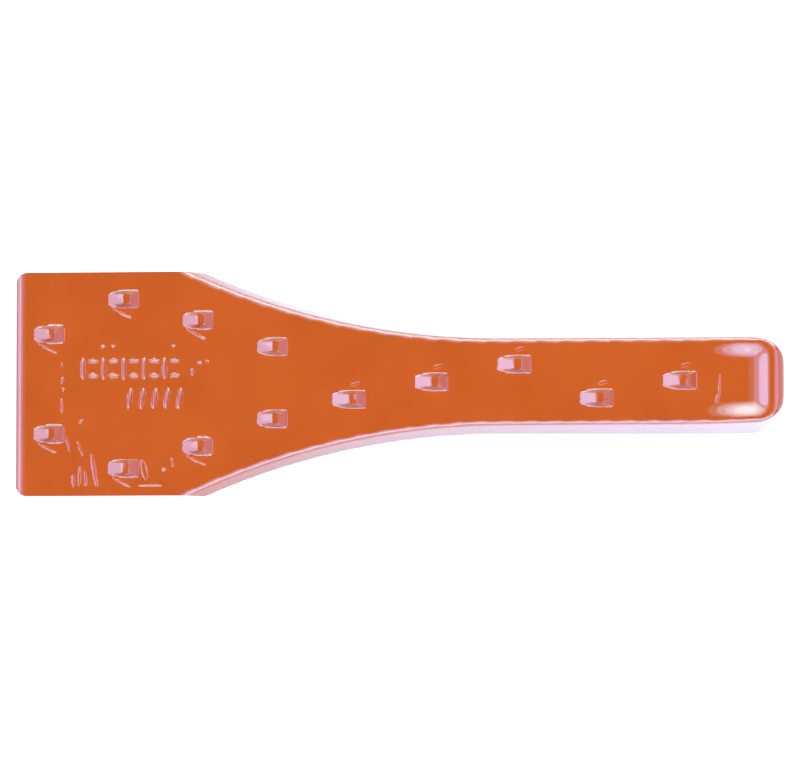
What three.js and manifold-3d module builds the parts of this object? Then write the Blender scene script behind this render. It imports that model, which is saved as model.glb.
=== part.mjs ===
// A one-piece cast felling wedge with a thick dip coat.
// Millimetres, +Z up. The wedge lies on its flat underside, thin edge at -X, struck head at +X.
import * as THREE from "three";
import { mergeVertices } from "three/addons/utils/BufferGeometryUtils.js";
import Module from "manifold-3d";

// ---- Overall sizes. Lengths along the wedge are measured from the thin edge. ----
const overallLength = 270;
const bladeWidth = 79;
const tipThickness = 3.5;
const taperAngle = THREE.MathUtils.degToRad(5);

// ---- Plan outline, at the underside and on the deck (the sloping top face) ----
const baseShoulder = 68; // where the blade's straight sides end
const deckShoulder = 60.5;
const neckEnd = 171; // where the hollow flanks run out into the straight handle
const handleBaseWidth = 35.4;
const handleDeckWidth = 30.2;
const bladeCornerRadius = 4.2;
const headCornerLength = 10; // the head's corners are quarter ellipses in plan
const headCornerWidth = 9.5;

// ---- Edges ----
const noseLength = 3.2; // the rounding of the thin edge
const noseHeight = 1.7;
const deckEdgeRadius = 2;
const baseEdgeChamfer = 0.8;

// ---- Raised lip across the head, round a scoop in the deck ----
const lipInset = 5.5; // from the struck face to the crest's inner edge
const lipCrestWidth = 1.2;
const lipHeight = 3.5; // over the deck
const lipRise = 11; // the length over which the scoop sweeps up to the lip
const scoopSideInset = 1.4; // from the deck's edge to the scoop's side crest
const scoopSideRise = 7; // the width over which the scoop sweeps up to its sides
const scoopLength = 28.5; // the length over which the sides themselves come up out of the deck
const struckEdgeHeight = 5;

// ---- Barbs ----
const barbRadius = 4.2;
const barbTopRadius = 1.5;
const barbHeight = 3;
const barbLean = 1.6; // how far the top is set back towards the head
const barbBackFoot = 4.9; // from the barb's centre to the foot of its back face
const barbBackAngle = THREE.MathUtils.degToRad(38);
const barbFacets = 24;
const barbSink = 0.5; // how far its foot is buried in the deck
const firstBarb = 12;
const bladeBarbPitch = 26.3;
const bladeBarbMargins = [17.7, 5.5, 11.3, 10.7]; // from the deck's edge to each pair's feet
const firstHandleBarb = 117.9;
const handleBarbPitch = 28.9;
const handleBarbMargin = 4.9;
const handleBarbSteps = [-1, 0, 1, -1, 0]; // the handle's barbs step from side to side

// ---- Coat ----
const coatThickness = 0.8;
const coatClearance = 0.3; // between the coat and the casting
const pinMarkRadius = 2.5; // bare spots left by the supports
const bladePinMark = { x: 40, y: 22 };
const handlePinInset = 45; // from the struck face

const slope = Math.tan(taperAngle);
const deckAt = (x) => tipThickness + x * slope;

const wasm = await Module();
wasm.setup();

// ---------- Between three.js geometry and solids ----------
function solidOf(geometry) {
  const bare = geometry.clone();
  bare.deleteAttribute("normal");
  bare.deleteAttribute("uv");
  const merged = mergeVertices(bare);
  return new wasm.Manifold(
    new wasm.Mesh({
      numProp: 3,
      vertProperties: merged.attributes.position.array,
      triVerts: new Uint32Array(merged.index.array),
    }),
  );
}

function geometryOf(solid) {
  const { vertProperties, triVerts } = solid.getMesh();
  const geometry = new THREE.BufferGeometry();
  geometry.setAttribute("position", new THREE.BufferAttribute(vertProperties, 3));
  geometry.setIndex(new THREE.BufferAttribute(triVerts, 1));
  geometry.computeVertexNormals();
  return geometry;
}

// Joins rings of points, which stand one behind the other along +X, into a closed skin. Each ring
// is its own mirror image, with one point on the middle line, so its end is closed row by row.
function loft(rings) {
  const count = rings[0].length;
  const last = (rings.length - 1) * count;
  const index = [];
  for (let k = 0; k < rings.length - 1; k += 1) {
    for (let i = 0; i < count; i += 1) {
      const next = (i + 1) % count;
      const [a, b] = [k * count + i, k * count + next];
      index.push(a, b, b + count, a, b + count, a + count);
    }
  }
  const middle = (count - 1) / 2;
  for (let i = 0; i < middle; i += 1) {
    const [right, left] = [i, count - 1 - i];
    index.push(right, left, left - 1);
    index.push(last + right, last + left - 1, last + left);
    if (i + 1 < middle) {
      index.push(right, left - 1, right + 1);
      index.push(last + right, last + right + 1, last + left - 1);
    }
  }
  const geometry = new THREE.BufferGeometry().setFromPoints(rings.flat());
  return geometry.setIndex(index);
}

// ---------- Body ----------
// Every shape below takes a depth: how far it lies inside the wedge's outer skin.

// Half the width of the flank: an arc that leaves the blade's corner and runs out into the handle.
function flankArc(x, shoulder, handleWidth) {
  const run = neckEnd - shoulder;
  const rise = (bladeWidth - handleWidth) / 2;
  const radius = (run * run + rise * rise) / (2 * rise);
  const back = Math.max(0, neckEnd - x);
  const root = Math.sqrt(radius * radius - back * back);
  return { half: handleWidth / 2 + radius - root, lean: radius / root };
}

// A quarter ellipse: 1 where it starts, 0 at its end.
const quarter = (along, length) => Math.sqrt(Math.max(0, 1 - (along / length) ** 2));

// Half the body's width at a place along it and a height: drafted walls, rounded head corners.
function wallHalf(x, z, depth) {
  const base = flankArc(x, baseShoulder, handleBaseWidth);
  const deck = flankArc(x, deckShoulder, handleDeckWidth);
  const wall = base.half + ((deck.half - base.half) * z) / deckAt(x) - depth * base.lean;
  const intoCorner = Math.max(0, x - (overallLength - headCornerLength));
  const shrink = 1 - quarter(intoCorner, headCornerLength - depth);
  return wall - (headCornerWidth - depth) * shrink;
}

// The height of the scoop's sweep over the deck: nothing in its middle, full at the crest.
function scoopAt(x, y) {
  const crest = overallLength - lipInset;
  const sideCrest = handleDeckWidth / 2 - scoopSideInset;
  const along = Math.max(0, 1 - (crest - x) / lipRise);
  const across = Math.max(0, 1 - (sideCrest - Math.abs(y)) / scoopSideRise);
  const near = Math.min(1, Math.hypot(along, across));
  return lipHeight * near * near * THREE.MathUtils.smoothstep(x, crest - scoopLength, crest);
}

// The height of the top face: the deck, the scoop, the lip's outer rounding and the nose.
function topAt(x, y, depth) {
  const deck = deckAt(x) - depth / Math.cos(taperAngle);
  const beyondCrest = Math.max(0, x - (overallLength - lipInset + lipCrestWidth));
  const struckRun = lipInset - lipCrestWidth - depth;
  const drop = struckEdgeHeight * (1 - quarter(beyondCrest, struckRun));
  const intoNose = Math.max(0, noseLength - x);
  const nose = (deck - noseHeight) * (1 - quarter(intoNose, noseLength - depth));
  return deck + scoopAt(x, y) - drop - nose;
}

// One ring of the body: underside, chamfer, wall, rounded edge, top face and back down.
function bodyRing(x, depth) {
  const edgeSteps = 3;
  const topSteps = 8;
  const right = [
    [wallHalf(x, 0, depth) - baseEdgeChamfer, depth],
    [wallHalf(x, depth + baseEdgeChamfer / 2, depth), depth + baseEdgeChamfer / 2],
  ];
  const rim = wallHalf(x, deckAt(x), depth) - deckEdgeRadius;
  const rimTop = topAt(x, rim, depth);
  const edgeHeight = Math.min(deckEdgeRadius, (rimTop - depth) / 2);
  for (let i = 0; i < edgeSteps; i += 1) {
    const turn = ((i / edgeSteps) * Math.PI) / 2;
    const z = rimTop - edgeHeight * (1 - Math.sin(turn));
    right.push([wallHalf(x, z, depth) - deckEdgeRadius * (1 - Math.cos(turn)), z]);
  }
  for (let i = 0; i < topSteps; i += 1) {
    const y = rim * Math.cos(((i / topSteps) * Math.PI) / 2);
    right.push([y, topAt(x, y, depth)]);
  }
  const left = right.map(([y, z]) => [-y, z]).reverse();
  return [...right, [0, topAt(x, 0, depth)], ...left].map(([y, z]) => new THREE.Vector3(x, y, z));
}

// Places along the body where a ring stands, closest together where it curves.
function ringPlaces(depth) {
  const crest = overallLength - lipInset;
  const scoopStart = crest - scoopLength;
  const sweepStart = crest - lipRise;
  const crestEnd = crest + lipCrestWidth;
  const places = [];
  const even = (from, to, steps) => {
    for (let i = 0; i < steps; i += 1) places.push(from + ((to - from) * i) / steps);
  };
  const eased = (from, to, steps) => {
    for (let i = 0; i < steps; i += 1) {
      places.push(from + (to - from) * Math.sin(((i / steps) * Math.PI) / 2));
    }
  };
  even(depth, noseLength, 4);
  even(noseLength, deckShoulder, 2);
  even(deckShoulder, neckEnd, 16);
  even(neckEnd, scoopStart, 2);
  even(scoopStart, sweepStart, 6);
  even(sweepStart, crest, 7);
  even(crest, crestEnd, 1);
  eased(crestEnd, overallLength - depth, 5);
  places.push(overallLength - depth);
  return places;
}

// The blade's straight sides and rounded front corners, as a block that trims the flared body.
function bladeBlank(depth) {
  const half = bladeWidth / 2 - depth;
  const radius = bladeCornerRadius - depth;
  const outline = new THREE.Shape();
  outline.moveTo(overallLength, -half);
  outline.lineTo(overallLength, half);
  outline.lineTo(depth + radius, half);
  outline.absarc(depth + radius, half - radius, radius, Math.PI / 2, Math.PI);
  outline.absarc(depth + radius, radius - half, radius, Math.PI, Math.PI * 1.5);
  outline.closePath();
  const reach = overallLength / 4;
  const block = new THREE.ExtrudeGeometry(outline, {
    depth: 2 * reach,
    bevelEnabled: false,
    curveSegments: 6,
  });
  return solidOf(block.translate(0, 0, -reach));
}

// ---------- Barbs ----------
// A leaning cone with a small flat top, cut off by a sloping face towards the head.
function barb(depth) {
  const perHeight = (barbRadius - barbTopRadius) / barbHeight;
  const slim = 0.45 * depth;
  const cone = new THREE.CylinderGeometry(
    barbTopRadius - slim,
    barbRadius - slim + barbSink * perHeight,
    barbHeight + barbSink,
    barbFacets,
  );
  cone.rotateX(Math.PI / 2);
  cone.translate(0, 0, (barbHeight - barbSink) / 2);
  const lean = new THREE.Matrix4().makeShear(0, 0, 0, 0, barbLean / barbHeight, 0);
  cone.applyMatrix4(lean);
  const keep = new THREE.BoxGeometry(4 * barbRadius, 4 * barbRadius, 4 * barbRadius);
  keep.translate(-2 * barbRadius, 0, 0);
  keep.rotateY(barbBackAngle - Math.PI / 2);
  keep.translate(barbBackFoot - slim, 0, 0);
  return solidOf(cone).intersect(solidOf(keep));
}

// Each barb's place: its foot keeps a margin from the deck's edge.
function barbPlaces() {
  const places = [];
  bladeBarbMargins.forEach((margin, i) => {
    const x = firstBarb + i * bladeBarbPitch;
    const flank = flankArc(x, deckShoulder, handleDeckWidth).half;
    const offset = Math.min(bladeWidth / 2, flank) - margin - barbRadius;
    places.push([x, offset], [x, -offset]);
  });
  const handleOffset = handleDeckWidth / 2 - handleBarbMargin - barbRadius;
  handleBarbSteps.forEach((step, i) => {
    places.push([firstHandleBarb + i * handleBarbPitch, step * handleOffset]);
  });
  return places;
}

// ---------- The whole wedge, some depth inside its outer skin ----------
function wedge(depth) {
  const rings = ringPlaces(depth).map((x) => bodyRing(x, depth));
  let solid = solidOf(loft(rings)).intersect(bladeBlank(depth));
  const one = barb(depth);
  for (const [x, y] of barbPlaces()) {
    const stand = new THREE.Matrix4()
      .makeTranslation(x, y, topAt(x, y, depth))
      .multiply(new THREE.Matrix4().makeRotationY(-taperAngle));
    solid = solid.add(one.transform(stand.elements));
  }
  return solid;
}

// Bare spots on the underside, through the coat to the casting.
function pinMarks() {
  const spot = (x, y) => {
    const hole = new THREE.CylinderGeometry(pinMarkRadius, pinMarkRadius, 4 * coatThickness, 32);
    return solidOf(hole.rotateX(Math.PI / 2).translate(x, y, 0));
  };
  return spot(bladePinMark.x, bladePinMark.y)
    .add(spot(bladePinMark.x, -bladePinMark.y))
    .add(spot(overallLength - handlePinInset, 0));
}

// ---------- Assembly ----------
function part(name, solid, finish) {
  const mesh = new THREE.Mesh(geometryOf(solid), new THREE.MeshStandardMaterial(finish));
  mesh.name = name;
  return mesh;
}

const assembly = new THREE.Group();
assembly.position.x = -overallLength / 2;

const coat = wedge(0).subtract(wedge(coatThickness)).subtract(pinMarks());
assembly.add(part("dip_coat", coat, { color: 0xd66226, roughness: 0.25, metalness: 0 }));

const casting = wedge(coatThickness + coatClearance);
assembly.add(part("cast_body", casting, { color: 0xb4b5b6, roughness: 0.5, metalness: 1 }));

export default assembly;
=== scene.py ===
"""A cast felling wedge under a thick, glossy orange dip coat, lying on a pale studio floor."""

import math

import bmesh
import bpy
from mathutils import Matrix, Vector


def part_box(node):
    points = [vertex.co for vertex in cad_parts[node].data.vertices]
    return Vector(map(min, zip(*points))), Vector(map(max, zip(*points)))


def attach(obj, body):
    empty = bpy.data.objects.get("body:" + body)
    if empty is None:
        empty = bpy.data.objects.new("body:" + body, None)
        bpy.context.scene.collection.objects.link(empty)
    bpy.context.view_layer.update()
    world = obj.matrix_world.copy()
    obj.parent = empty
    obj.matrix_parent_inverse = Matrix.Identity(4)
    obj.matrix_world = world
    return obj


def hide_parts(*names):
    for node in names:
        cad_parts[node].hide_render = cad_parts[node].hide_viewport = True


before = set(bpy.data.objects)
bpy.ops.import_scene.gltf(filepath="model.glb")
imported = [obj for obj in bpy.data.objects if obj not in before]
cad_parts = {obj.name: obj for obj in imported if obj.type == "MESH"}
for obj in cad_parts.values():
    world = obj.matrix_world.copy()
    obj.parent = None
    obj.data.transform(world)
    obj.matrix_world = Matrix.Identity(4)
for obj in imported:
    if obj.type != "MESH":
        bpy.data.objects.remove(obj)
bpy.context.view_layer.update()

MM = 0.001

# ---- Sizes, in metres. Places along the wedge are measured from its thin edge. ----
coat_low, coat_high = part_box("dip_coat")
LENGTH = coat_high.x - coat_low.x
TIP_X = coat_low.x
BLADE_WIDTH = coat_high.y - coat_low.y
TIP_THICKNESS = 3.5 * MM
TAPER = math.radians(5)
BASE_SHOULDER = 68 * MM
DECK_SHOULDER = 60.5 * MM
NECK_END = 171 * MM
HANDLE_BASE_WIDTH = 35.4 * MM
HANDLE_DECK_WIDTH = 30.2 * MM
BLADE_CORNER_RADIUS = 4.2 * MM
HEAD_CORNER_LENGTH = 10 * MM
HEAD_CORNER_WIDTH = 9 * MM
HEAD_TAPER = 0.5 * MM  # how much the head narrows before its corners
NOSE_LENGTH = 3.9 * MM
NOSE_HEIGHT = 1.7 * MM
DECK_EDGE_RADIUS = 2.6 * MM
BASE_EDGE_RADIUS = 0.9 * MM
LIP_HEIGHT = 3.5 * MM
LIP_INSET = 5.5 * MM
LIP_CREST_WIDTH = 1.2 * MM
LIP_RISE = 11 * MM
SCOOP_SIDE_INSET = 0.9 * MM
SCOOP_SIDE_RISE = 7 * MM
SCOOP_LENGTH = 28.5 * MM
STRUCK_EDGE_HEIGHT = 5 * MM
CREST = LENGTH - LIP_INSET
CREST_END = CREST + LIP_CREST_WIDTH
FLARE_START = DECK_SHOULDER - 4 * MM  # from here on the steps along the wedge are closer

BARB_HEIGHT = 3 * MM
BARB_FRONT = 5.8 * MM  # from a barb's centre to the foot of its ramp
BARB_CREST = 0.2 * MM  # to the top of its ramp
BARB_TOP_END = 2.7 * MM  # to the top of its back face
BARB_BACK = 5.5 * MM  # to the foot of its back face
BARB_EDGE_RADIUS = 0.2 * MM
# Height, centre, half length and half width of the cone that the ramp and the back face are cut from.
BARB_CONE = (
    (-1.0 * MM, 2.0 * MM, 9.6 * MM, 3.15 * MM), (0.0 * MM, 2.0 * MM, 9.6 * MM, 3.15 * MM),
    (0.7 * MM, 1.8 * MM, 8.0 * MM, 2.82 * MM), (1.5 * MM, 1.55 * MM, 6.1 * MM, 2.38 * MM),
    (2.3 * MM, 1.3 * MM, 4.2 * MM, 2.0 * MM), (BARB_HEIGHT, 1.1 * MM, 2.6 * MM, 1.75 * MM),
)
BLADE_BARB_SHARE = 0.9  # how long the blade's barbs are, against the handle's
FIRST_BARB = 12 * MM
BLADE_BARB_PITCH = 26.3 * MM
BLADE_BARB_OFFSETS = (17.6 * MM, 29.8 * MM, 22.2 * MM, 12.7 * MM)
FIRST_HANDLE_BARB = 117.9 * MM
HANDLE_BARB_PITCH = 28.9 * MM
HANDLE_BARB_OFFSET = 6 * MM
HANDLE_BARB_STEPS = (-1, 0, 1, -1, 0)

PIN_MARK_RADIUS = 2.5 * MM
PIN_MARK_DEPTH = 1.5 * MM
PIN_MARKS = ((40 * MM, 22 * MM), (40 * MM, -22 * MM), (LENGTH - 45 * MM, 0))

SKIN_VOXEL = 0.75 * MM
CASTING_ALLOWANCE = 0.2 * MM  # between the casting and the coat
HAIR = 0.01 * MM  # how far from its exact place a point may be and still be picked
SMALLEST_SHARE = 0.001  # points that would rise by less than this share stay where they are


def along(x):
    """A place along the wedge, from its thin edge, as the frame's X."""
    return TIP_X + x


def deck_at(x):
    """The deck's height at a place along the wedge."""
    return TIP_THICKNESS + x * math.tan(TAPER)


# ---------------------------------------------------------------- bench tools
def deselect_all():
    bpy.ops.object.select_all(action="DESELECT")


def activate(piece):
    deselect_all()
    piece.select_set(True)
    bpy.context.view_layer.objects.active = piece


def edit(piece):
    activate(piece)
    bpy.ops.object.mode_set(mode="EDIT")
    bpy.ops.mesh.select_mode(type="VERT")
    bpy.ops.mesh.select_all(action="DESELECT")


def leave_edit():
    bpy.ops.object.mode_set(mode="OBJECT")


def pick_points(piece, wanted):
    """Selects the points that wanted(place) says, and nothing else."""
    bpy.ops.mesh.select_mode(type="VERT")
    mesh = bmesh.from_edit_mesh(piece.data)
    for point in mesh.verts:
        point.select = wanted(point.co)
    mesh.select_flush_mode()
    bmesh.update_edit_mesh(piece.data)


def pick_edges(piece, wanted):
    """Selects the edges that wanted(one end, other end) says, and nothing else."""
    bpy.ops.mesh.select_mode(type="EDGE")
    mesh = bmesh.from_edit_mesh(piece.data)
    for edge in mesh.edges:
        edge.select = wanted(edge.verts[0].co, edge.verts[1].co)
    mesh.select_flush_mode()
    bmesh.update_edit_mesh(piece.data)


def modify(piece, kind, **settings):
    """Adds a modifier with its settings and applies it."""
    activate(piece)
    modifier = piece.modifiers.new(kind.title(), kind)
    for name, value in settings.items():
        setattr(modifier, name, value)
    bpy.ops.object.modifier_apply(modifier=modifier.name)


def cut_or_join(piece, other, operation):
    """A boolean with another piece, which is used up."""
    modify(piece, "BOOLEAN", operation=operation, object=other, solver="MANIFOLD")
    bpy.data.objects.remove(other)


def copy_of(piece, name):
    """A copy of a piece with a mesh of its own."""
    twin = piece.copy()
    twin.data = piece.data.copy()
    twin.name = name
    bpy.context.scene.collection.objects.link(twin)
    return twin


def settle(piece):
    """Moves a piece's place and turn into its mesh."""
    activate(piece)
    bpy.ops.object.transform_apply(location=True, rotation=True, scale=True)


def join(pieces, name):
    """Makes one piece of several, under a new name."""
    deselect_all()
    for piece in pieces:
        piece.select_set(True)
    bpy.context.view_layer.objects.active = pieces[0]
    bpy.ops.object.join()
    pieces[0].name = name
    return pieces[0]


# ---------------------------------------------------------------- body
def flank_half(x, shoulder, handle_width):
    """Half the flank's width: an arc from the blade's corner that runs out into the handle."""
    run = NECK_END - shoulder
    rise = (BLADE_WIDTH - handle_width) / 2
    radius = (run * run + rise * rise) / (2 * rise)
    back = max(0, NECK_END - x)
    return handle_width / 2 + radius - math.sqrt(radius * radius - back * back)


def quarter(step, length):
    """A quarter ellipse: 1 where it starts, 0 at its end."""
    return math.sqrt(max(0, 1 - (step / length) ** 2))


def smooth_ramp(x, start, end):
    """0 up to start, 1 from end on, smooth in between."""
    t = min(1, max(0, (x - start) / (end - start)))
    return t * t * (3 - 2 * t)


def rim_at(x):
    """The side view's top line, with no lip: nose, deck and struck edge."""
    drop = STRUCK_EDGE_HEIGHT * (1 - quarter(max(0, x - CREST_END), LENGTH - CREST_END))
    nose = (deck_at(x) - NOSE_HEIGHT) * (1 - quarter(max(0, NOSE_LENGTH - x), NOSE_LENGTH))
    return deck_at(x) - drop - nose


def lip_share(place):
    """How much of the lip's height stands at a place: none in the scoop's middle, all at its crest."""
    x = place.x - along(0)
    side_crest = HANDLE_DECK_WIDTH / 2 - SCOOP_SIDE_INSET
    forward = max(0, 1 - (CREST - x) / LIP_RISE)
    across = max(0, 1 - (side_crest - abs(place.y)) / SCOOP_SIDE_RISE)
    hollow = (1 - min(1, forward) ** 2) * (1 - smooth_ramp(across, 0, 1))
    up_the_wall = smooth_ramp(place.z, 0, deck_at(x))
    return (1 - hollow) * smooth_ramp(x, CREST - SCOOP_LENGTH, CREST) * up_the_wall


def section(x):
    """Half widths at the underside and at the deck, and the top's height."""
    corner = max(0, x - (LENGTH - HEAD_CORNER_LENGTH))
    narrowing = HEAD_CORNER_WIDTH * (1 - quarter(corner, HEAD_CORNER_LENGTH))
    narrowing += HEAD_TAPER * max(0, (x - CREST + SCOOP_LENGTH) / SCOOP_LENGTH) ** 2
    base = flank_half(x, BASE_SHOULDER, HANDLE_BASE_WIDTH)
    deck = flank_half(x, DECK_SHOULDER, HANDLE_DECK_WIDTH)
    top = rim_at(x)
    top_half = base + (deck - base) * top / deck_at(x)
    return base - narrowing, top_half - narrowing, top


def steps(start, end, count):
    """Even steps that leave out the start."""
    return [start + (end - start) * i / count for i in range(1, count + 1)]


def eased_steps(start, end, count):
    """Steps that crowd together towards the end."""
    return [start + (end - start) * math.sin(i / count * math.pi / 2) for i in range(1, count + 1)]


def body_block():
    """The wedge with no barbs or scoop: one section pushed along it and resized at every step."""
    nose = [NOSE_LENGTH - x for x in reversed(eased_steps(0, NOSE_LENGTH, 6)[:-1])]
    places = nose + [NOSE_LENGTH] + steps(NOSE_LENGTH, FLARE_START, 4)
    places += steps(FLARE_START, NECK_END, 48)
    places += steps(NECK_END, LENGTH - HEAD_CORNER_LENGTH, 8)
    places += steps(LENGTH - HEAD_CORNER_LENGTH, CREST_END, 10) + eased_steps(CREST_END, LENGTH, 14)
    base, deck, top = section(0)
    bpy.ops.mesh.primitive_cube_add(size=1, location=(0, 0, 0))
    block = bpy.context.object
    block.name = "body_block"
    edit(block)
    # Only one square of the cube stays: it becomes the section at the thin edge.
    bpy.ops.mesh.select_all(action="SELECT")
    bpy.ops.mesh.delete(type="ONLY_FACE")
    pick_points(block, lambda p: p.x > 0)
    bpy.ops.mesh.delete(type="VERT")
    pick_points(block, lambda p: True)
    bpy.ops.transform.translate(value=(along(0) + 0.5, 0, 0.5))
    bpy.ops.transform.resize(value=(1, 2 * base, top), center_override=(0, 0, 0))
    pick_points(block, lambda p: p.z > top / 2)
    bpy.ops.transform.resize(value=(1, deck / base, 1), center_override=(0, 0, 0))
    bpy.ops.mesh.select_all(action="SELECT")
    bpy.ops.mesh.edge_face_add()
    here = 0
    for x in places:
        new_base, new_deck, new_top = section(x)
        bpy.ops.mesh.extrude_region_move(TRANSFORM_OT_translate={"value": (x - here, 0, 0)})
        ring = along(x) - HAIR
        middle = top / 2
        pick_points(block, lambda p: p.x > ring and p.z < middle)
        bpy.ops.transform.resize(value=(1, new_base / base, 1), center_override=(0, 0, 0))
        pick_points(block, lambda p: p.x > ring and p.z > middle)
        bpy.ops.transform.resize(value=(1, new_deck / deck, 1), center_override=(0, 0, 0))
        bpy.ops.transform.translate(value=(0, 0, new_top - top))
        pick_points(block, lambda p: p.x > ring)
        here, base, deck, top = x, new_base, new_deck, new_top
    bpy.ops.mesh.select_all(action="SELECT")
    bpy.ops.mesh.normals_make_consistent(inside=False)
    leave_edit()
    return block


def round_edges(block):
    """Rounds the long edges of the deck and of the underside, and the struck face's outline."""
    end = along(LENGTH) - HAIR

    def on_base(p):
        return p.z < HAIR

    def outlines(a, b):
        return a.y * b.y > 0 or (a.x > end and b.x > end)

    edit(block)
    pick_edges(block, lambda a, b: not on_base(a) and not on_base(b) and outlines(a, b))
    bpy.ops.mesh.bevel(offset=DECK_EDGE_RADIUS, segments=5, affect="EDGES", clamp_overlap=True)
    pick_edges(block, lambda a, b: on_base(a) and on_base(b) and outlines(a, b))
    bpy.ops.mesh.bevel(offset=BASE_EDGE_RADIUS, segments=3, affect="EDGES", clamp_overlap=True)
    leave_edit()


def blade_blank():
    """The blade's straight sides and rounded front corners, as a block that trims the flare."""
    tall = 0.2
    bpy.ops.mesh.primitive_cube_add(
        size=1, location=(along(LENGTH), 0, 0), scale=(2 * LENGTH, BLADE_WIDTH, tall)
    )
    blank = bpy.context.object
    settle(blank)
    edit(blank)
    front = along(HAIR)
    pick_edges(blank, lambda a, b: a.x < front and b.x < front and abs(a.z - b.z) > tall / 2)
    bpy.ops.mesh.bevel(offset=BLADE_CORNER_RADIUS, segments=8, affect="EDGES")
    leave_edit()
    return blank


def raise_points(piece, height, share):
    """Lifts a piece's points by a height, each by the share of it that share(place) says."""
    group = piece.vertex_groups.new(name="share")
    for point in piece.data.vertices:
        weight = share(point.co)
        if weight > SMALLEST_SHARE:
            group.add([point.index], min(1, weight), "REPLACE")
    modify(piece, "DISPLACE", direction="Z", mid_level=0, strength=height, vertex_group=group.name)
    piece.vertex_groups.remove(piece.vertex_groups["share"])


# ---------------------------------------------------------------- barbs
def barb_pattern():
    """One barb on level ground: a waisted ramp, a small flat top and a sloping back face."""
    bpy.ops.mesh.primitive_circle_add(vertices=64, radius=1, fill_type="NGON", location=(0, 0, 0))
    barb = bpy.context.object
    barb.name = "barb_pattern"
    edit(barb)
    bpy.ops.mesh.select_all(action="SELECT")
    height, centre, half_length, half_width = BARB_CONE[0]
    bpy.ops.transform.resize(value=(half_length, half_width, 1), center_override=(0, 0, 0))
    bpy.ops.transform.translate(value=(centre, 0, height))
    here = BARB_CONE[0]
    for level in BARB_CONE[1:]:
        bpy.ops.mesh.extrude_region_move(TRANSFORM_OT_translate={"value": (0, 0, level[0] - here[0])})
        bpy.ops.transform.resize(
            value=(level[2] / here[2], level[3] / here[3], 1), center_override=(here[1], 0, 0)
        )
        bpy.ops.transform.translate(value=(level[1] - here[1], 0, 0))
        here = level
    ramp = Vector((-BARB_HEIGHT, 0, BARB_CREST + BARB_FRONT)).normalized()
    back = Vector((BARB_HEIGHT, 0, BARB_BACK - BARB_TOP_END)).normalized()
    cuts = ((-BARB_FRONT, ramp), (BARB_BACK, back))
    for foot, normal in cuts:
        bpy.ops.mesh.select_all(action="SELECT")
        bpy.ops.mesh.bisect(plane_co=(foot, 0, 0), plane_no=normal, use_fill=True, clear_outer=True)

    def on_cut(p, foot, normal):
        return abs(p.dot(normal) - foot * normal.x) < HAIR / 2

    def rim_of_cut(p, q):
        above = p.z > -BARB_EDGE_RADIUS and q.z > -BARB_EDGE_RADIUS
        return above and any(on_cut(p, *cut) and on_cut(q, *cut) for cut in cuts)

    pick_edges(barb, rim_of_cut)
    bpy.ops.mesh.bevel(offset=BARB_EDGE_RADIUS, segments=2, affect="EDGES", clamp_overlap=True)
    bpy.ops.mesh.select_all(action="SELECT")
    bpy.ops.mesh.normals_make_consistent(inside=False)
    leave_edit()
    return barb


def barb_places():
    """Where the barbs stand: four pairs on the blade, then one behind the other on the handle."""
    places = []
    for i, offset in enumerate(BLADE_BARB_OFFSETS):
        x = FIRST_BARB + i * BLADE_BARB_PITCH
        places += [(x, offset), (x, -offset)]
    for i, step in enumerate(HANDLE_BARB_STEPS):
        places.append((FIRST_HANDLE_BARB + i * HANDLE_BARB_PITCH, step * HANDLE_BARB_OFFSET))
    return places


def all_barbs():
    """Every barb in its place, square to the sloping deck."""
    pattern = barb_pattern()
    copies = []
    for i, (x, y) in enumerate(barb_places()):
        barb = copy_of(pattern, f"barb_{i + 1}")
        barb.location = (along(x), y, deck_at(x))
        barb.scale = (BLADE_BARB_SHARE if x < FIRST_HANDLE_BARB else 1, 1, 1)
        barb.rotation_euler = (0, -TAPER, 0)
        settle(barb)
        copies.append(barb)
    bpy.data.objects.remove(pattern)
    return join(copies, "barbs")


# ---------------------------------------------------------------- relief and runs in the coat
# Place along the wedge, place across it, length, width and height in mm, and turn in degrees.
CAST_BARS = [(24 + 7.2 * i, 5.3, 7.8, 1.6, 0.95, 90) for i in range(5)]
CAST_DOTS = [(27.6 + 7.2 * i, y, 3.4, 1.5, 0.8, 0) for i in range(5) for y in (2.7, 7.9)]
CAST_DASHES = [(40.5 + 4.4 * i, -5.3, 7.4, 1.7, 0.95, 80) for i in range(5)]
# Specks and short ridges that the mould left round the cast marks.
MOULD_SPECKS = [
    (16.4, 6.8, 1.4, 0.5, 0.2, 90), (16.6, 1.2, 2.4, 0.8, 0.3, 80), (17.0, -2.0, 1.0, 0.6, 0.25, 90),
    (16.5, -7.6, 5.4, 0.9, 0.35, 92), (23.2, -13.2, 1.6, 0.6, 0.3, 60), (31.0, 13.1, 1.3, 0.8, 0.25, 0),
    (34.6, 13.3, 1.1, 0.5, 0.2, 0), (56.0, 13.2, 1.2, 0.6, 0.25, 30), (62.6, 4.0, 2.6, 0.9, 0.35, 90),
    (65.2, 7.2, 1.5, 0.8, 0.35, 20), (68.0, 7.6, 1.2, 0.6, 0.3, 0),
]
COAT_RUNS = [
    (28.0, -30.6, 13.0, 1.5, 0.4, 100), (24.9, -33.4, 6.0, 1.0, 0.25, 93),
    (22.8, -32.6, 7.6, 1.2, 0.25, 86), (20.6, -34.2, 4.6, 1.0, 0.25, 92),
    (18.7, -21.2, 6.2, 0.6, 0.2, 102), (23.0, -22.9, 6.0, 0.6, 0.2, 110),
    (45.6, -30.4, 7.8, 2.4, 0.35, 104), (47.8, -36.0, 8.8, 0.6, 0.2, 0),
    (52.6, -30.4, 1.4, 0.9, 0.3, 0), (55.6, -27.8, 3.6, 0.6, 0.2, 98),
    (247.4, -1.2, 7.6, 0.8, 0.25, 88), (246.5, -6.6, 5.4, 1.1, 0.3, 70),
]
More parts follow.
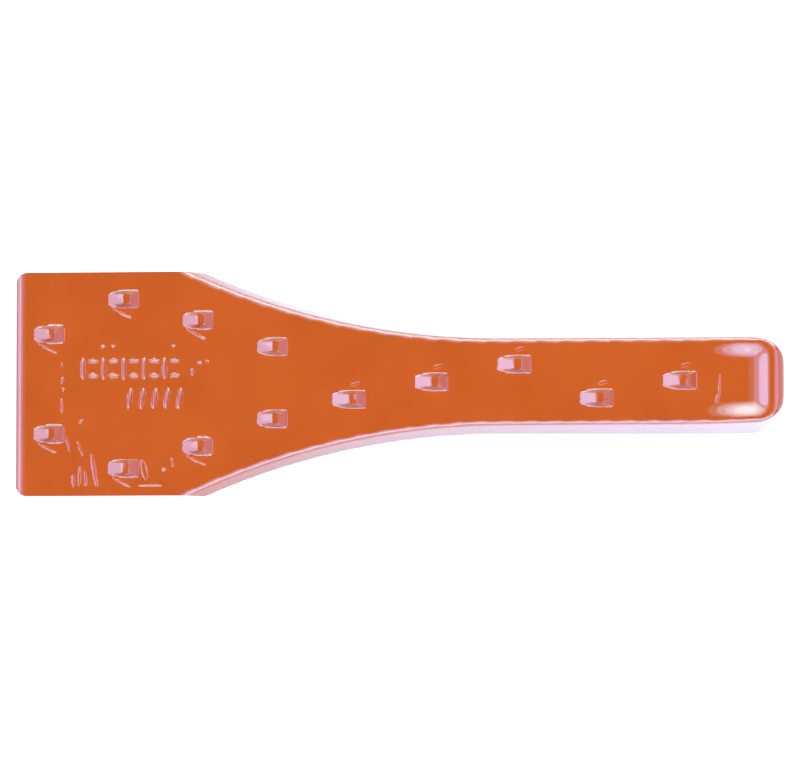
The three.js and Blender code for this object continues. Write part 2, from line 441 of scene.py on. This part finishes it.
# The coat's creases round a barb, with places measured from the barb's centre.
BLADE_CREASES = ((-4.1, -1.8, 5.0, 0.7, 0.2, -72), (-0.2, -5.3, 6.8, 0.6, 0.2, -27))
HANDLE_CREASES = ((2.0, 5.4, 4.2, 1.3, 0.1, 18),)
CREASED_BLADE_BARBS = 6


def bead(x, y, length, width, height, turn):
    """A low, rounded ridge on the deck: the cap of a stretched ball that is sunk to half its height."""
    spread = math.sqrt(0.75)  # a ball's width at half of its height, against its full width
    bpy.ops.mesh.primitive_uv_sphere_add(segments=16, ring_count=10, radius=1)
    ball = bpy.context.object
    stretch = Matrix.Diagonal((length / 2 / spread * MM, width / 2 / spread * MM, 2 * height * MM, 1))
    stand = Matrix.Translation((along(x * MM), y * MM, deck_at(x * MM) - height * MM))
    tilt = Matrix.Rotation(-TAPER, 4, "Y") @ Matrix.Rotation(math.radians(turn), 4, "Z")
    ball.matrix_world = stand @ tilt @ stretch
    settle(ball)
    return ball


def all_beads():
    """The cast marks, the runs in the coat, and the coat's creases round the barbs."""
    rows = CAST_BARS + CAST_DOTS + CAST_DASHES + MOULD_SPECKS + COAT_RUNS
    for i, (x, y) in enumerate(barb_places()):
        creases = HANDLE_CREASES if x >= FIRST_HANDLE_BARB else ()
        if i < CREASED_BLADE_BARBS:
            creases = BLADE_CREASES
        rows = rows + [(x / MM + ahead, y / MM + aside, *shape) for ahead, aside, *shape in creases]
    return join([bead(*row) for row in rows], "beads")


# ---------------------------------------------------------------- coat
def casting_room():
    """The room for the casting inside the coat: the casting itself, grown a little all round."""
    room = copy_of(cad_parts["cast_body"], "casting_room")
    room.parent = None
    room.matrix_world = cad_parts["cast_body"].matrix_world.copy()
    settle(room)
    edit(room)
    bpy.ops.mesh.select_all(action="SELECT")
    bpy.ops.mesh.remove_doubles(threshold=0.001 * MM)
    bpy.ops.mesh.normals_make_consistent(inside=False)
    leave_edit()
    modify(room, "DISPLACE", mid_level=0, strength=CASTING_ALLOWANCE)
    return room


def pin_marks():
    """The bare spots on the underside, where the coat was kept off by its supports."""
    spots = []
    for x, y in PIN_MARKS:
        bpy.ops.mesh.primitive_cylinder_add(
            vertices=48, radius=PIN_MARK_RADIUS, depth=2 * PIN_MARK_DEPTH, location=(along(x), y, 0)
        )
        settle(bpy.context.object)
        spots.append(bpy.context.object)
    return join(spots, "pin_marks")


def make_coat():
    """The coat as a shell: its outer skin with barbs and relief, less the room for the casting."""
    skin = body_block()
    round_edges(skin)
    modify(skin, "REMESH", mode="VOXEL", voxel_size=SKIN_VOXEL)
    modify(skin, "SMOOTH", factor=0.5, iterations=14)
    raise_points(skin, LIP_HEIGHT, lip_share)
    modify(skin, "SMOOTH", factor=0.5, iterations=3)
    cut_or_join(skin, blade_blank(), "INTERSECT")
    cut_or_join(skin, all_barbs(), "UNION")
    cut_or_join(skin, all_beads(), "UNION")
    cut_or_join(skin, casting_room(), "DIFFERENCE")
    cut_or_join(skin, pin_marks(), "DIFFERENCE")
    skin.name = "orange_coat"
    return skin


# ---------------------------------------------------------------- shader maths
class Value:
    """A node's output. Sums and products of it turn into Math nodes."""

    def __init__(self, tree, socket):
        self.tree = tree
        self.socket = socket

    def node(self, kind, settings=None, **inputs):
        """Adds a node. An input is named as on the node, or by its number after an underscore."""
        made = self.tree.nodes.new(kind)
        for name, value in (settings or {}).items():
            setattr(made, name, value)
        for name, value in inputs.items():
            socket = made.inputs[int(name[1:])] if name[0] == "_" else made.inputs[name.replace("_", " ")]
            if isinstance(value, Value):
                self.tree.links.new(value.socket, socket)
            else:
                socket.default_value = value
        return made

    def math(self, operation, *values):
        inputs = {f"_{i}": value for i, value in enumerate(values)}
        made = self.node("ShaderNodeMath", {"operation": operation}, **inputs)
        return Value(self.tree, made.outputs[0])

    def __add__(self, other):
        return self.math("ADD", self, other)

    def __radd__(self, other):
        return self.math("ADD", other, self)

    def __sub__(self, other):
        return self.math("SUBTRACT", self, other)

    def __mul__(self, other):
        return self.math("MULTIPLY", self, other)

    def between(self, low, high):
        """0 below low, 1 above high, smooth in between."""
        made = self.node(
            "ShaderNodeMapRange",
            {"interpolation_type": "SMOOTHSTEP"},
            Value=self,
            From_Min=low,
            From_Max=high,
        )
        return Value(self.tree, made.outputs["Result"])

    def mix(self, first, second):
        """Goes from one colour to another as this value goes from 0 to 1."""
        made = self.node("ShaderNodeMix", {"data_type": "RGBA"}, _0=self, _6=first, _7=second)
        return Value(self.tree, made.outputs[2])


def new_material(name):
    """An empty material, and the place on the object that its patterns are drawn from."""
    material = bpy.data.materials.new(name)
    material.use_nodes = True
    tree = material.node_tree
    tree.nodes.clear()
    here = Value(tree, tree.nodes.new("ShaderNodeTexCoord").outputs["Object"])
    return material, here


def noise(place, scale, detail=2.0, roughness=0.5):
    inputs = {"Vector": place, "Scale": scale, "Detail": detail, "Roughness": roughness}
    made = place.node("ShaderNodeTexNoise", **inputs)
    return Value(place.tree, made.outputs["Fac"])


def bump(height, strength, distance):
    made = height.node("ShaderNodeBump", Strength=strength, Distance=distance, Height=height)
    return Value(height.tree, made.outputs["Normal"])


def finish_material(place, **inputs):
    """Closes a material with a principled shader that has these inputs."""
    shader = place.node("ShaderNodeBsdfPrincipled", **inputs)
    output = place.tree.nodes.new("ShaderNodeOutputMaterial")
    place.tree.links.new(shader.outputs[0], output.inputs["Surface"])


def coat_material():
    """Thick gloss orange: a faint mottle in the colour, orange peel and soft, finger-wide waves."""
    material, place = new_material("orange_dip_coat")
    mottle = noise(place, 60.0, 3.0).between(0.3, 0.7)
    colour = mottle.mix((0.515, 0.090, 0.0085, 1), (0.545, 0.099, 0.0110, 1))
    scuffs = noise(place, 240.0, 4.0, 0.6).between(0.52, 0.75)
    gloss = 0.10 + scuffs * 0.05
    peel = noise(place, 420.0, 1.0) * 0.35 + noise(place, 90.0, 1.0)
    finish_material(
        place,
        Base_Color=colour,
        Roughness=gloss,
        IOR=1.5,
        Normal=bump(peel, 0.22, 0.10 * MM),
    )
    return material


def casting_material():
    """Sand-cast light alloy: a dull grey skin with fine grains and darker pores."""
    material, place = new_material("sand_cast_alloy")
    grain = noise(place, 900.0, 4.0, 0.65)
    pores = noise(place, 350.0, 2.0).between(0.62, 0.72)
    colour = (grain * 0.6 + pores * 0.4).mix((0.60, 0.60, 0.61, 1), (0.30, 0.30, 0.31, 1))
    finish_material(
        place,
        Base_Color=colour,
        Metallic=1.0,
        Roughness=0.42 + grain * 0.2,
        Normal=bump(grain - pores, 0.6, 0.15 * MM),
    )
    return material


# ---------------------------------------------------------------- studio
FLOOR_GLOW = (0.85, 1.22, 1.75, 1)
FAR_FLOOR_GLOW = (1.5, 2.6, 4.4, 1)
FAR_FLOOR = (0.045, 0.060)  # how far to the side the far glow begins, and where it is full

CARD_DISTANCE = 2.6
CARD_HALF_HEIGHT = math.radians(6.2)
CARD_ELEVATIONS = (8, 20, 32, 44, 56, 67)
# Azimuth, width, radiance at each elevation, colour.
CARDS = {
    "card_front": (-90, 4.4, (13, 20, 20, 15, 9, 3), (0.34, 0.64, 1.0)),
    "card_rear": (90, 4.4, (13, 21, 20, 13, 7, 2), (0.42, 0.84, 1.0)),
    "card_blade_end": (180, 3.2, (11, 11, 16, 5.5, 1.5), (0.32, 0.58, 1.0)),
    "card_head_end": (0, 1.7, (4, 3, 4, 8, 8, 5), (0.30, 0.50, 1.0)),
}

CAMERA_ELEVATION = math.radians(86)
CAMERA_DISTANCE = 2.4
CAMERA_TARGET = Vector((0.6, -0.45, 12)) * MM
SENSOR_WIDTH = 36
VIEW_WIDTH = 0.2811  # how much of the scene the picture spans at the target


def make_floor():
    """Pale paper that glows by itself, more so away from the wedge."""
    bpy.ops.mesh.primitive_plane_add(size=6, location=(0, 0, 0))
    floor = bpy.context.object
    floor.name = "studio_floor"
    material, place = new_material("studio_white")
    paper = noise(place, 3.0).mix((0.44, 0.44, 0.45, 1), (0.46, 0.46, 0.47, 1))
    sideways = Value(place.tree, place.node("ShaderNodeSeparateXYZ", _0=place).outputs["Y"])
    glow = sideways.math("ABSOLUTE", sideways).between(*FAR_FLOOR).mix(FLOOR_GLOW, FAR_FLOOR_GLOW)
    finish_material(place, Base_Color=paper, Roughness=0.9, Emission_Color=glow, Emission_Strength=1.0)
    floor.data.materials.append(material)


def panel(name, azimuth, elevation, distance, size, radiance, colour, card=False):
    """A rectangular light that faces the wedge. A card only shows in reflections, a lamp only lights."""
    turn = math.radians(azimuth)
    rise = math.radians(elevation)
    away = Vector((math.cos(rise) * math.cos(turn), math.cos(rise) * math.sin(turn), math.sin(rise)))
    light = bpy.data.lights.new(name, "AREA")
    light.shape = "RECTANGLE"
    light.size, light.size_y = size
    light.energy = radiance * math.pi * size[0] * size[1]
    light.color = colour
    lamp = bpy.data.objects.new(name, light)
    bpy.context.scene.collection.objects.link(lamp)
    lamp.location = away * distance
    lamp.rotation_euler = away.to_track_quat("Z", "Y").to_euler()
    lamp.visible_diffuse = not card
    lamp.visible_glossy = card


def make_lights():
    """A lamp overhead, and on each side a curved bank of cards for the gloss to mirror."""
    panel("ceiling_lamp", 90, 88, 1.6, (2.4, 2.4), 2.9, (1.0, 1.0, 1.03))
    tall = 2 * CARD_DISTANCE * math.tan(CARD_HALF_HEIGHT)
    for name, (azimuth, width, radiances, colour) in CARDS.items():
        for i, (elevation, radiance) in enumerate(zip(CARD_ELEVATIONS, radiances)):
            size = (width, tall)
            panel(f"{name}_{i + 1}", azimuth, elevation, CARD_DISTANCE, size, radiance, colour, card=True)
    world = bpy.data.worlds.new("studio_air")
    world.use_nodes = True
    background = world.node_tree.nodes["Background"]
    background.inputs["Color"].default_value = (0.05, 0.05, 0.055, 1)
    background.inputs["Strength"].default_value = 1.0
    bpy.context.scene.world = world


def make_camera():
    """Almost straight down, from a little to the front of the wedge's near edge."""
    back = Vector((0, -math.cos(CAMERA_ELEVATION), math.sin(CAMERA_ELEVATION)))
    lens = bpy.data.cameras.new("camera")
    lens.sensor_width = SENSOR_WIDTH
    lens.lens = SENSOR_WIDTH * CAMERA_DISTANCE / VIEW_WIDTH
    lens.clip_start = 0.01
    camera = bpy.data.objects.new("camera", lens)
    bpy.context.scene.collection.objects.link(camera)
    camera.location = CAMERA_TARGET + back * CAMERA_DISTANCE
    camera.rotation_euler = back.to_track_quat("Z", "Y").to_euler()
    bpy.context.scene.camera = camera


# ---------------------------------------------------------------- scene
coat = make_coat()
coat.data.materials.clear()
coat.data.materials.append(coat_material())
activate(coat)
bpy.ops.object.shade_smooth_by_angle(angle=math.radians(35))
modify(coat, "WEIGHTED_NORMAL", keep_sharp=True)
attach(coat, "root")
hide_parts("dip_coat")

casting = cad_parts["cast_body"]
casting.data.materials.clear()
casting.data.materials.append(casting_material())

make_floor()
make_lights()
make_camera()
bpy.context.scene.view_settings.view_transform = "Standard"
